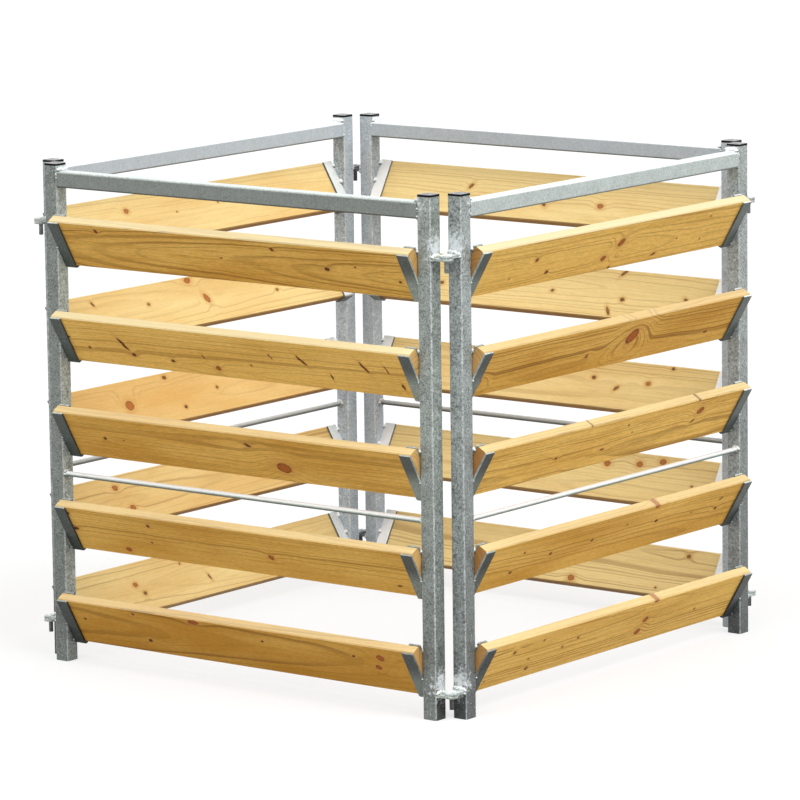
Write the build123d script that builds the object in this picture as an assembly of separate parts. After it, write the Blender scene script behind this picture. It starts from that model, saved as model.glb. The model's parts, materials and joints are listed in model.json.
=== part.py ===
from build123d import *
import math
import os

# Compost bin. Hinged panels of galvanised square tube stand on a square plan.
# Each panel carries sloping wooden slats in brackets bent from flat bar.
# Millimetres, +Z up, feet on Z = 0, origin at the centre of the plan.
# One panel is drawn, the front one, which faces -Y. The others are quarter turns of it.
# Only the heights of the low hinges differ from corner to corner.

# Plan and frame
TUBE = 30.0
TUBE_WALL = 2.0
TUBE_CORNER = 3.5
PIVOT_PITCH = 950.0
POST_TO_PIVOT = 23.5
POST_HEIGHT = 940.0
RAIL_DROP = 10.0
RAIL_WELD = 8.0

# Brace rod, under the lower edge of one row of slats
ROD_DIAMETER = 10.0
ROD_ROW = 2
ROD_BELOW_SEAT = 40.0
ROD_INSET = 9.5

# Slats, in rows counted from the lowest: the seat is the middle of a slat's lower edge
SLAT_COUNT = 5
SLAT_THICKNESS = 20.0
SLAT_HEIGHT = 102.0
SLAT_EDGE = 2.0
SLAT_LEAN = 30.0
SLAT_END_CLEARANCE = 0.5
SLAT_BELOW_RAIL = 50.0
SEAT_INSET = 34.0
LOWEST_SEAT_HEIGHT = 41.5

# Brackets
BAR_WIDTH = 25.0
BAR_THICKNESS = 4.0
BEND_OUTSIDE = 6.0
SLOT_CLEARANCE = 0.3
LEG_BELOW_SLAT = 1.0

# Hinges: a pin lug lies on top of its neighbour's hole lug, and its pin is welded under it
LUG_THICKNESS = 5.0
LUG_WIDTH = 25.0
LUG_GAP = 0.3
FRONT_LOW_LUG_HEIGHT = 42.5
RIGHT_LOW_LUG_HEIGHT = 66.0
BACK_LOW_LUG_HEIGHT = 80.0
LEFT_LOW_LUG_HEIGHT = 70.0
HIGH_LUG_DROP = 112.5
PIN_DIAMETER = 8.0
PIN_RUNNING_CLEARANCE = 0.5
PIN_BELOW_LUG = 21.0

# End caps
CAP_FLANGE = 4.0
CAP_RISE = 2.0
CAP_TIP = 5.0
CAP_PLUG = 15.0
CAP_PLUG_CLEARANCE = 0.15

# Sizes that follow from those above
BORE = TUBE - 2 * TUBE_WALL
PANEL_Y = -PIVOT_PITCH / 2
OUTER_Y = PANEL_Y - TUBE / 2
POST_X = PIVOT_PITCH / 2 - POST_TO_PIVOT - TUBE / 2
CLEAR_SPAN = 2 * POST_X - TUBE
RAIL_TOP = POST_HEIGHT - RAIL_DROP
HIGH_LUG_HEIGHT = POST_HEIGHT - HIGH_LUG_DROP
LEAN = math.radians(SLAT_LEAN)
SLAT_LENGTH = CLEAR_SPAN - 2 * SLAT_END_CLEARANCE
SLAT_RISE = SLAT_HEIGHT * math.cos(LEAN) + SLAT_THICKNESS / 2 * math.sin(LEAN)
HIGHEST_SEAT_HEIGHT = RAIL_TOP - TUBE - SLAT_BELOW_RAIL - SLAT_RISE
SEAT_PITCH = (HIGHEST_SEAT_HEIGHT - LOWEST_SEAT_HEIGHT) / (SLAT_COUNT - 1)
SLOT_WIDTH = SLAT_THICKNESS + 2 * SLOT_CLEARANCE
LEG_TOP = SLAT_HEIGHT - LEG_BELOW_SLAT
# The largest square that stays on the cap's rounded flange
CAP_PYRAMID = TUBE - TUBE_CORNER * (2 - math.sqrt(2))
CAP_SLOPE = math.degrees(math.atan((CAP_PYRAMID - CAP_TIP) / 2 / CAP_RISE))

PANEL_TURNS = {"front": 0, "right": 90, "back": 180, "left": 270}
# Heights of the hole lugs on each panel's right end
HOLE_LUG_HEIGHTS = {
    "front": (FRONT_LOW_LUG_HEIGHT, HIGH_LUG_HEIGHT),
    "right": (RIGHT_LOW_LUG_HEIGHT, HIGH_LUG_HEIGHT),
    "back": (BACK_LOW_LUG_HEIGHT, HIGH_LUG_HEIGHT),
    "left": (LEFT_LOW_LUG_HEIGHT, HIGH_LUG_HEIGHT),
}


def square_tube(length):
    """Hollow square tube standing on the origin, open at both ends."""
    outside = extrude(RectangleRounded(TUBE, TUBE, TUBE_CORNER), length)
    bore = extrude(Rectangle(BORE, BORE), length)
    return outside - bore


def post(side):
    """Corner post of the front panel; side is -1 for the left end, +1 for the right."""
    return Pos(side * POST_X, PANEL_Y, 0) * square_tube(POST_HEIGHT)


def rail_weld(side):
    """Fillet weld between the top of the rail and the post's inner face."""
    root_x = side * CLEAR_SPAN / 2
    toe_x = root_x - side * RAIL_WELD
    outline = Polyline(
        (root_x, RAIL_TOP),
        (toe_x, RAIL_TOP),
        (root_x, RAIL_TOP + RAIL_WELD),
        close=True,
    )
    flat_width = TUBE - 2 * TUBE_CORNER
    middle = Plane((0, PANEL_Y, 0), x_dir=(1, 0, 0), z_dir=(0, -1, 0))
    return extrude(middle * make_face(outline), flat_width / 2, both=True)


def top_rail():
    """Square tube welded between the posts, a little under their tops."""
    start = Pos(-CLEAR_SPAN / 2, PANEL_Y, RAIL_TOP - TUBE / 2)
    tube = start * Rot(0, 90, 0) * square_tube(CLEAR_SPAN)
    return tube + rail_weld(-1) + rail_weld(1)


def brace_rod():
    """Round bar that ties the two posts together at mid height."""
    start = Pos(-CLEAR_SPAN / 2, OUTER_Y + ROD_INSET, seat_height(ROD_ROW) - ROD_BELOW_SEAT)
    return start * Rot(0, 90, 0) * extrude(Circle(ROD_DIAMETER / 2), CLEAR_SPAN)


def seat_height(row):
    """Height of a row's seats above the ground."""
    return LOWEST_SEAT_HEIGHT + row * SEAT_PITCH


def seat_plane(row, x):
    """Plane square to the slats at x: its X points out of the slat's face, its Y up the slope."""
    face_normal = (0, -math.cos(LEAN), -math.sin(LEAN))
    return Plane((x, OUTER_Y + SEAT_INSET, seat_height(row)), x_dir=face_normal, z_dir=(-1, 0, 0))


def slat(row):
    """Planed board with eased edges, resting on the bottoms of its two brackets."""
    profile = Pos(0, SLAT_HEIGHT / 2) * Rectangle(SLAT_THICKNESS, SLAT_HEIGHT)
    profile = chamfer(profile.vertices(), SLAT_EDGE)
    return extrude(seat_plane(row, SLAT_LENGTH / 2) * profile, SLAT_LENGTH)


def bracket_profile():
    """U of bent flat bar around the slat's lower edge; its origin is the seat."""
    outside = Pos(0, (LEG_TOP - BAR_THICKNESS) / 2) * Rectangle(
        SLOT_WIDTH + 2 * BAR_THICKNESS, LEG_TOP + BAR_THICKNESS
    )
    slot = Pos(0, LEG_TOP / 2) * Rectangle(SLOT_WIDTH, LEG_TOP)
    return fillet(outside.vertices().group_by(Axis.Y)[0], BEND_OUTSIDE) - slot


def bracket(row, side):
    """Bracket welded by its edges to the inner face of one post."""
    right_edge = CLEAR_SPAN / 2 if side > 0 else -CLEAR_SPAN / 2 + BAR_WIDTH
    return extrude(seat_plane(row, right_edge) * bracket_profile(), BAR_WIDTH)


def lug(side, bottom):
    """Flat lug with a round end about the pivot, welded to the outer end face of a post."""
    pivot_x = side * PIVOT_PITCH / 2
    plate = Pos(pivot_x - side * POST_TO_PIVOT / 2, PANEL_Y) * Rectangle(POST_TO_PIVOT, LUG_WIDTH)
    outline = plate + Pos(pivot_x, PANEL_Y) * Circle(LUG_WIDTH / 2)
    return Pos(0, 0, bottom) * extrude(outline, LUG_THICKNESS)


def pin_lug_bottom(hole_lug_height):
    """Height of the pin lug that lies on a neighbour's hole lug."""
    return hole_lug_height + LUG_THICKNESS + LUG_GAP


def hole_lug(height):
    """Lower lug of a hinge, on the panel's right end."""
    hole = extrude(Circle(PIN_DIAMETER / 2 + PIN_RUNNING_CLEARANCE), LUG_THICKNESS)
    return lug(1, height) - Pos(PIVOT_PITCH / 2, PANEL_Y, height) * hole


def pin_lug(height):
    """Upper lug of a hinge, on the panel's left end."""
    return lug(-1, pin_lug_bottom(height))


def hinge_pin(height):
    """Round bar that hangs from its lug down through the neighbour's hole."""
    low = height - PIN_BELOW_LUG
    bar = extrude(Circle(PIN_DIAMETER / 2), pin_lug_bottom(height) - low)
    return Pos(-PIVOT_PITCH / 2, PANEL_Y, low) * bar


def end_cap(side):
    """Plastic cap: a plug in the tube, a square flange and a low pyramid on top."""
    plug_side = BORE - 2 * CAP_PLUG_CLEARANCE
    plug = extrude(Rectangle(plug_side, plug_side), -CAP_PLUG)
    flange = extrude(RectangleRounded(TUBE, TUBE, TUBE_CORNER), CAP_FLANGE)
    base = Pos(0, 0, CAP_FLANGE) * Rectangle(CAP_PYRAMID, CAP_PYRAMID)
    pyramid = extrude(base, CAP_RISE, taper=CAP_SLOPE)
    return Pos(side * POST_X, PANEL_Y, POST_HEIGHT) * (plug + flange + pyramid)


def frame_pieces():
    """The front panel without its hinges, as node name to list of solids."""
    rows = range(SLAT_COUNT)
    pieces = {
        "left_post": [post(-1)],
        "right_post": [post(1)],
        "top_rail": [top_rail()],
        "brace_rod": [brace_rod()],
        "left_brackets": [bracket(row, -1) for row in rows],
        "right_brackets": [bracket(row, 1) for row in rows],
        "end_caps": [end_cap(-1), end_cap(1)],
    }
    for row in rows:
        pieces[f"slat_{row + 1}"] = [slat(row)]
    return pieces


def hinge_pieces(panel):
    """A panel's halves of its hinges, drawn on the front panel, as node name to list of solids."""
    panels = list(PANEL_TURNS)
    left_neighbour = panels[panels.index(panel) - 1]
    pin_heights = HOLE_LUG_HEIGHTS[left_neighbour]
    return {
        "pin_lugs": [pin_lug(height) for height in pin_heights],
        "hole_lugs": [hole_lug(height) for height in HOLE_LUG_HEIGHTS[panel]],
        "hinge_pins": [hinge_pin(height) for height in pin_heights],
    }


os.makedirs("parts", exist_ok=True)
same_pieces = frame_pieces()
for panel, turn in PANEL_TURNS.items():
    pieces = {**same_pieces, **hinge_pieces(panel)}
    for piece, solids in pieces.items():
        node = Compound([Rot(0, 0, turn) * solid for solid in solids])
        export_step(node, f"parts/{panel}_{piece}.step")
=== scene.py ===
import json
import math
import random
from collections import namedtuple

import bmesh
import bpy
from mathutils import Matrix, Vector, noise


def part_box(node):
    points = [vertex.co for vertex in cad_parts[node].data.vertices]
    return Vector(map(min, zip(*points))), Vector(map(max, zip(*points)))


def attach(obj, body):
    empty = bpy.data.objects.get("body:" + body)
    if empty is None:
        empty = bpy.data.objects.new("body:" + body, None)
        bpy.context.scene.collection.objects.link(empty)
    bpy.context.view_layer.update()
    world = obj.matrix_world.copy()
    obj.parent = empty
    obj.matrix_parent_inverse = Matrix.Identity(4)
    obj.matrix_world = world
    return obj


# Compost bin: galvanised panels with sloping softwood slats, dressed for the camera.
# Metres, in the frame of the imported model. The front panel faces -Y.

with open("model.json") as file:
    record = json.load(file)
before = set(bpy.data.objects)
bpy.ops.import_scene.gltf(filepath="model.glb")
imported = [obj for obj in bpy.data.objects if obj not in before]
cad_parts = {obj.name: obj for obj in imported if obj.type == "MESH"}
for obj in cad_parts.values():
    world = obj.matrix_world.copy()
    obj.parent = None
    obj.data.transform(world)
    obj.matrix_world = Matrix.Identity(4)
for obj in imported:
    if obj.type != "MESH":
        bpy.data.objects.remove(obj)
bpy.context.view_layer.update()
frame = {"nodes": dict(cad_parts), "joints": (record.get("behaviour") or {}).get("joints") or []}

# Camera, from a fit of the posts' corners in the photograph
CAMERA_PLACE = Vector((5.8477, -7.5424, 2.0770))
CAMERA_AZIMUTH = math.radians(37.79)
CAMERA_DIP = math.radians(9.56)
CAMERA_ROLL = math.radians(0.773)
CAMERA_LENS = 229.8
CAMERA_SENSOR = 36.0
CAMERA_REACH = 200.0

# Light: where each lamp shines from, its level and its spread in degrees
SKY_LEVEL = 0.36
LAMPS = {
    "main_light": (Vector((0.70, 0.02, 0.71)), 2.3, 45.0),
    "front_light": (Vector((-0.10, -0.62, 0.78)), 1.7, 60.0),
    "rim_light": (Vector((-0.55, 0.72, 0.42)), 0.6, 60.0),
}

# Floor
FLOOR_HALF = 60.0
FLOOR_BOUNCE = 0.5
FLOOR_WHITE = 0.92
FLOOR_SHADOW = 0.30

# The bin
PANEL_TURNS = {"front": 0, "right": 90, "back": 180, "left": 270}
SLAT_ROWS = 5
SLAT_LENGTH = 0.842
SLAT_HEIGHT = 0.102
LUG_THICKNESS = 0.005
SPLASH_ABOVE_LUG = 0.014
SPLASH_BELOW_POST_TOP = 0.012
MILLIMETRE = 0.001


def panel_turn(panel):
    """Turn from the front panel to another panel."""
    return Matrix.Rotation(math.radians(PANEL_TURNS[panel]), 3, "Z")


def panel_along(panel):
    """Direction along a panel, from its left post to its right post."""
    return panel_turn(panel) @ Vector((1.0, 0.0, 0.0))


def panel_inward(panel):
    """Direction from a panel to the middle of the bin."""
    return panel_turn(panel) @ Vector((0.0, 1.0, 0.0))


def board_axes(node):
    """Centre of a slat, and its directions: along it, up its slope and out of its face."""
    panel = node.split("_")[0]
    joint = next(joint for joint in frame["joints"] if joint["name"] == node + "_lift")
    along = panel_along(panel)
    up = Vector(joint["axis"]).normalized()
    out = along.cross(up)
    low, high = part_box(node)
    return (low + high) / 2, along, up, out


def lug_levels(name):
    """Bottom and top heights of the two lugs of a node."""
    low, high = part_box(name)
    return ((low.z, low.z + LUG_THICKNESS), (high.z - LUG_THICKNESS, high.z))


def lug_roots(panel):
    """Places on a panel's posts where the lugs are welded on, a little above each lug."""
    post_low, post_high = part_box("front_right_post")
    middle = (post_low.y + post_high.y) / 2
    roots = []
    for piece, side in (("pin_lugs", -1), ("hole_lugs", 1)):
        for _, top in lug_levels(f"{panel}_{piece}"):
            roots.append(panel_turn(panel) @ Vector((side * post_high.x, middle, top + SPLASH_ABOVE_LUG)))
    return roots


def rail_roots(panel):
    """Places on a panel's posts above the ends of the top rail."""
    post_low, post_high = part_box("front_right_post")
    middle = (post_low.y + post_high.y) / 2
    return [
        panel_turn(panel) @ Vector((side * post_low.x, middle, post_high.z - SPLASH_BELOW_POST_TOP))
        for side in (-1, 1)
    ]


def aim_camera():
    """The photograph's view: a long lens from above the front corner."""
    forward = Vector((
        -math.sin(CAMERA_AZIMUTH) * math.cos(CAMERA_DIP),
        math.cos(CAMERA_AZIMUTH) * math.cos(CAMERA_DIP),
        -math.sin(CAMERA_DIP),
    ))
    level_right = Vector((math.cos(CAMERA_AZIMUTH), math.sin(CAMERA_AZIMUTH), 0.0))
    level_down = forward.cross(level_right)
    right = level_right * math.cos(CAMERA_ROLL) + level_down * math.sin(CAMERA_ROLL)
    up = level_right * math.sin(CAMERA_ROLL) - level_down * math.cos(CAMERA_ROLL)
    data = bpy.data.cameras.new("camera")
    data.lens = CAMERA_LENS
    data.sensor_width = CAMERA_SENSOR
    data.clip_end = CAMERA_REACH
    camera = bpy.data.objects.new("camera", data)
    turn = Matrix((right, up, -forward)).transposed()
    camera.matrix_world = Matrix.Translation(CAMERA_PLACE) @ turn.to_4x4()
    bpy.context.scene.collection.objects.link(camera)
    bpy.context.scene.camera = camera


class Nodes:
    """Adds and wires the nodes of one material or world."""

    def __init__(self, tree):
        self.tree = tree

    def add(self, kind, **settings):
        node = self.tree.nodes.new("ShaderNode" + kind)
        for name, value in settings.items():
            setattr(node, name, value)
        return node

    def feed(self, socket, value):
        """Links an output to a socket, or sets a plain value on it."""
        if isinstance(value, bpy.types.NodeSocket):
            self.tree.links.new(value, socket)
        elif value is not None:
            socket.default_value = value

    def math(self, operation, a, b=None, clamp=False):
        node = self.add("Math", operation=operation, use_clamp=clamp)
        self.feed(node.inputs[0], a)
        self.feed(node.inputs[1], b)
        return node.outputs[0]

    def chain(self, operation, values):
        """One operation carried on from the first value to the last."""
        total = values[0]
        for value in values[1:]:
            total = self.math(operation, total, value)
        return total

    def sum(self, *terms):
        return self.chain("ADD", terms)

    def times(self, *factors):
        return self.chain("MULTIPLY", factors)

    def greatest(self, *values):
        return self.chain("MAXIMUM", values)

    def minus(self, a, b):
        return self.math("SUBTRACT", a, b)

    def vector_math(self, operation, *values):
        node = self.add("VectorMath", operation=operation)
        for socket, value in zip(node.inputs, values):
            self.feed(socket, value)
        return node.outputs

    def dot(self, vector, axis):
        return self.vector_math("DOT_PRODUCT", vector, axis)["Value"]

    def length(self, vector):
        return self.vector_math("LENGTH", vector)["Value"]

    def vector(self, x, y, z):
        node = self.add("CombineXYZ")
        for socket, value in zip(node.inputs, (x, y, z)):
            self.feed(socket, value)
        return node.outputs[0]

    def grey(self, value):
        return self.vector(value, value, value)

    def split(self, vector):
        node = self.add("SeparateXYZ")
        self.feed(node.inputs[0], vector)
        return node.outputs

    def place(self, vector, location, turn, scale):
        """Coordinates of a vector in a box with this location, turn about Z and scale."""
        node = self.add("Mapping", vector_type="TEXTURE")
        self.feed(node.inputs["Vector"], vector)
        node.inputs["Location"].default_value = location
        node.inputs["Rotation"].default_value = (0.0, 0.0, turn)
        node.inputs["Scale"].default_value = scale
        return node.outputs[0]

    def step(self, value, low, high, start=0.0, end=1.0):
        """Smooth step from start to end as the value goes from low to high."""
        node = self.add("MapRange", interpolation_type="SMOOTHSTEP")
        self.feed(node.inputs["Value"], value)
        limits = (("From Min", low), ("From Max", high), ("To Min", start), ("To Max", end))
        for name, limit in limits:
            self.feed(node.inputs[name], limit)
        return node.outputs[0]

    def blend(self, share, start, end):
        """Goes from start to end as the share goes from nought to one."""
        return self.step(share, 0.0, 1.0, start, end)

    def noise(self, vector, scale, detail=2.0, roughness=0.5):
        node = self.add("TexNoise")
        self.feed(node.inputs["Vector"], vector)
        node.inputs["Scale"].default_value = scale
        node.inputs["Detail"].default_value = detail
        node.inputs["Roughness"].default_value = roughness
        return node.outputs[0]

    def mix(self, factor, a, b, blend="MIX"):
        node = self.add("Mix", data_type="RGBA", blend_type=blend)
        self.feed(node.inputs[0], factor)
        self.feed(node.inputs[6], a)
        self.feed(node.inputs[7], b)
        return node.outputs[2]

    def bump(self, height, distance, strength):
        node = self.add("Bump")
        node.inputs["Strength"].default_value = strength
        node.inputs["Distance"].default_value = distance
        self.feed(node.inputs["Height"], height)
        return node.outputs[0]

    def coordinates(self):
        """Place and direction of the surface, both in the object's own axes."""
        node = self.add("TexCoord")
        return node.outputs["Object"], node.outputs["Normal"]

    def seen(self):
        """One for rays from the camera, by way of glossy or clear faces too, and nought for the rest."""
        rays = self.add("LightPath").outputs
        return self.greatest(rays["Is Camera Ray"], rays["Is Glossy Ray"], rays["Is Transmission Ray"])


def new_material(name, metallic=0.0):
    """An empty material with its node helper and its shader."""
    material = bpy.data.materials.new(name)
    material.use_nodes = True
    shader = material.node_tree.nodes["Principled BSDF"]
    shader.inputs["Metallic"].default_value = metallic
    return material, Nodes(material.node_tree), shader


def colour(red, green, blue):
    return (red, green, blue, 1.0)


def light_stage():
    """An even sky, and soft lamps from the right, from the front and from behind."""
    world = bpy.data.worlds.new("world")
    bpy.context.scene.world = world
    world.use_nodes = True
    nodes = Nodes(world.node_tree)
    background = world.node_tree.nodes["Background"]
    background.inputs["Color"].default_value = colour(1.0, 1.0, 1.0)
    nodes.feed(background.inputs["Strength"], nodes.blend(nodes.seen(), SKY_LEVEL, 1.0))
    for name, (come_from, level, spread) in LAMPS.items():
        data = bpy.data.lights.new(name, "SUN")
        data.energy = level
        data.angle = math.radians(spread)
        lamp = bpy.data.objects.new(name, data)
        lamp.rotation_euler = come_from.to_track_quat("Z", "Y").to_euler()
        bpy.context.scene.collection.objects.link(lamp)


def floor_material():
    """White to the eye and to metal, with a faint shadow; throws some light back."""
    material, nodes, shader = new_material("floor")
    bounce = nodes.add("BsdfDiffuse")
    bounce.inputs["Color"].default_value = colour(FLOOR_BOUNCE, FLOOR_BOUNCE, FLOOR_BOUNCE)
    white = nodes.add("BsdfDiffuse")
    white.inputs["Color"].default_value = colour(FLOOR_WHITE, FLOOR_WHITE, FLOOR_WHITE)
    glow = nodes.add("Emission")
    shadowed = nodes.add("MixShader")
    shadowed.inputs[0].default_value = FLOOR_SHADOW
    nodes.feed(shadowed.inputs[1], glow.outputs[0])
    nodes.feed(shadowed.inputs[2], white.outputs[0])
    split = nodes.add("MixShader")
    nodes.feed(split.inputs[0], nodes.seen())
    nodes.feed(split.inputs[1], bounce.outputs[0])
    nodes.feed(split.inputs[2], shadowed.outputs[0])
    nodes.feed(material.node_tree.nodes["Material Output"].inputs["Surface"], split.outputs[0])
    material.node_tree.nodes.remove(shader)
    return material


def lay_floor():
    """A wide floor under the feet."""
    corners = [(-1, -1), (1, -1), (1, 1), (-1, 1)]
    mesh = bpy.data.meshes.new("floor")
    mesh.from_pydata([(x * FLOOR_HALF, y * FLOOR_HALF, 0.0) for x, y in corners], [], [(0, 1, 2, 3)])
    floor = bpy.data.objects.new("floor", mesh)
    bpy.context.scene.collection.objects.link(floor)
    mesh.materials.append(floor_material())


# Galvanised steel. Its colour is painted darker on faces that look down and lighter on faces that look up:
# painted shade below, painted sky light above.
ZINC_METALLIC = 0.15
ZINC_SHADED_UNDERSIDE = colour(0.078, 0.092, 0.087)
ZINC_LIT_TOP = colour(0.675, 0.72, 0.72)
# Pale colour of the specks and splashes, and of the painted glints on the posts' corners
ZINC_PALE_MARK_AND_GLINT = colour(0.78, 0.82, 0.835)
# Painted light: faces that look into the bin are made lighter and bluer
ZINC_INSIDE_LIGHT = colour(1.50, 1.51, 1.56)
TUBE_INSIDE_LIGHT = colour(1.56, 1.62, 1.82)
ZINC_CEILING = colour(0.85, 0.85, 0.85)
ZINC_ROUGHNESS = (0.36, 0.56)
ZINC_BUMP = 0.0006

# Grain of the coat: clouds, crystals and speckle, by scale and by weight
CLOUD_SCALE = 22.0
CRYSTAL_SCALE = 170.0
CRYSTAL_WARP_SCALE = 160.0
CRYSTAL_WARP = 0.004
CRYSTAL_SHADES = (0.4, 0.35, 0.25)
SPECKLE_SCALE = 300.0
CLOUD_WEIGHT = 0.6
CRYSTAL_WEIGHT = 0.5
SPECKLE_WEIGHT = 3.0
GRAIN_MEAN = 2.05
INSIDE_GRAIN = 0.55
SPECK_BRIGHTNESS = 0.45
# Painted highlight along the posts' rounded corners, broken up by noise
CORNER_GLINT_SCALE = 150.0
CORNER_GLINT_LEAST = 0.25

# Painted light: post faces that look along the panel get a share of the inner faces' painted light, low
# down and high up
SPAN_LIGHT_HEIGHTS = (0.55, 0.80)
HIGH_SPAN_LIGHT = 0.45
LOW_SPAN_LIGHT = {"front": 0.15, "right": 0.45, "back": 1.0, "left": 1.0}

# Soiling and painted shade near the ground: brightness at the ground, and the height at which the darkening
# ends. At the foot, faces that don't look out carry painted shadow under the lugs.
GROUND_DIRT_AND_SHADE = 0.62
GROUND_DIRT_AND_SHADE_TOP = 0.6
OUTER_DIRT_AND_SHADE = {"front": 0.62, "right": 0.45, "back": 0.62, "left": 0.62}
OUTER_DIRT_AND_SHADE_TOP = {"front": 0.6, "right": 0.85, "back": 0.6, "left": 0.6}
FOOT_DIRT_AND_SHADE = {"front": 0.98, "right": 0.68, "back": 0.6, "left": 0.6}
END_FOOT_SHADOW = 0.27
FOOT_DIRT_AND_SHADE_TOP = 0.16
INSIDE_DIRT_AND_SHADE = {"front": 1.0, "right": 1.0, "back": 0.1, "left": 0.1}

# Pale splashes by the welds of the two posts that are nearest to the camera
SPLASHED_POSTS = ("front_right_post", "right_left_post")
SPLASH_SIZE = (0.032, 0.032, 0.050)
SPLASH_SCALE = 120.0
SPLASH_RAGGEDNESS = 2.6
SPLASH_BRIGHTNESS = 0.85

# Painted light on a bracket's leg goes from its foot's level to its tip's over this share of a row
LEG_LIGHT_ROWS = (0.12, 0.36)

# Painted light and shade by panel: each panel's zinc is made lighter or darker as the light falls on it;
# their tints differ a little too
ZINC_LIGHT_BY_PANEL = {"front": 0.98, "right": 1.14, "back": 1.06, "left": 1.14}
TINT_BY_PANEL = {
    "front": colour(0.99, 1.01, 0.945),
    "right": colour(0.985, 1.005, 0.985),
    "back": colour(1.0, 1.0, 1.0),
    "left": colour(1.0, 1.0, 1.0),
}

# Shade of outer faces, of inner ones if it differs, and of those that look up, partly painted light; then
# the grain, the painted corner glints, the soiling and painted shade near the ground, the painted light
# inside, the gloss, and a bracket's painted edge light and shade and its legs' painted light from foot to
# tip
ZincLook = namedtuple(
    "ZincLook", "shade inner top grain glints stain tint gloss cut leg_foot leg_tip",
    defaults=(1.0, None, 1.0, 1.0, 0.0, 1.0, ZINC_INSIDE_LIGHT, 0.5, None, 1.0, 1.0),
)
# The high shades of the rods, lugs and welds are partly painted light, for how brightly they catch it
ZINC_BY_KIND = {
    "left_post": ZincLook(grain=1.4, glints=0.5, tint=TUBE_INSIDE_LIGHT),
    "right_post": ZincLook(grain=1.4, glints=0.5, tint=TUBE_INSIDE_LIGHT),
    "top_rail": ZincLook(top=0.75, grain=0.6, tint=TUBE_INSIDE_LIGHT),
    "brace_rod": ZincLook(shade=1.8, grain=0.3, stain=0.0),
    "left_brackets": ZincLook(grain=0.7, cut=0.3),
    "right_brackets": ZincLook(grain=0.7, cut=0.3),
    "pin_lugs": ZincLook(shade=1.3, top=0.65, stain=0.0),
    "hole_lugs": ZincLook(shade=1.3, top=0.65, stain=0.0),
    "hinge_pins": ZincLook(shade=0.7),
    "welds": ZincLook(shade=1.5, stain=0.0),
}
# Nodes that differ from others of their kind. Most of their shades are painted light and shade, lighter or
# darker as the light falls on each piece.
ZINC_BY_NODE = {
    "front_left_post": {"shade": 0.69, "inner": 1.5, "stain": 0.55},
    "front_top_rail": {"shade": 0.74, "top": 1.0},
    "right_top_rail": {"shade": 1.45, "top": 0.52},
    "front_left_brackets": {"shade": 0.8, "gloss": 0.3},
    "front_right_brackets": {"cut": 1.6, "leg_foot": 3.2, "leg_tip": 0.65},
    "right_left_brackets": {"cut": 1.5, "leg_foot": 2.1, "leg_tip": 0.75, "gloss": 0.15},
    "back_right_brackets": {"shade": 1.3},
    "left_left_brackets": {"shade": 0.85},
    "back_brace_rod": {"shade": 0.6},
    "left_brace_rod": {"shade": 0.6},
    # Painted shadow: the lugs and hinge pin at the back corner
    "back_hole_lugs": {"shade": 0.45},
    "left_pin_lugs": {"shade": 0.45},
    "left_hinge_pins": {"shade": 0.3},
}


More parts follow.
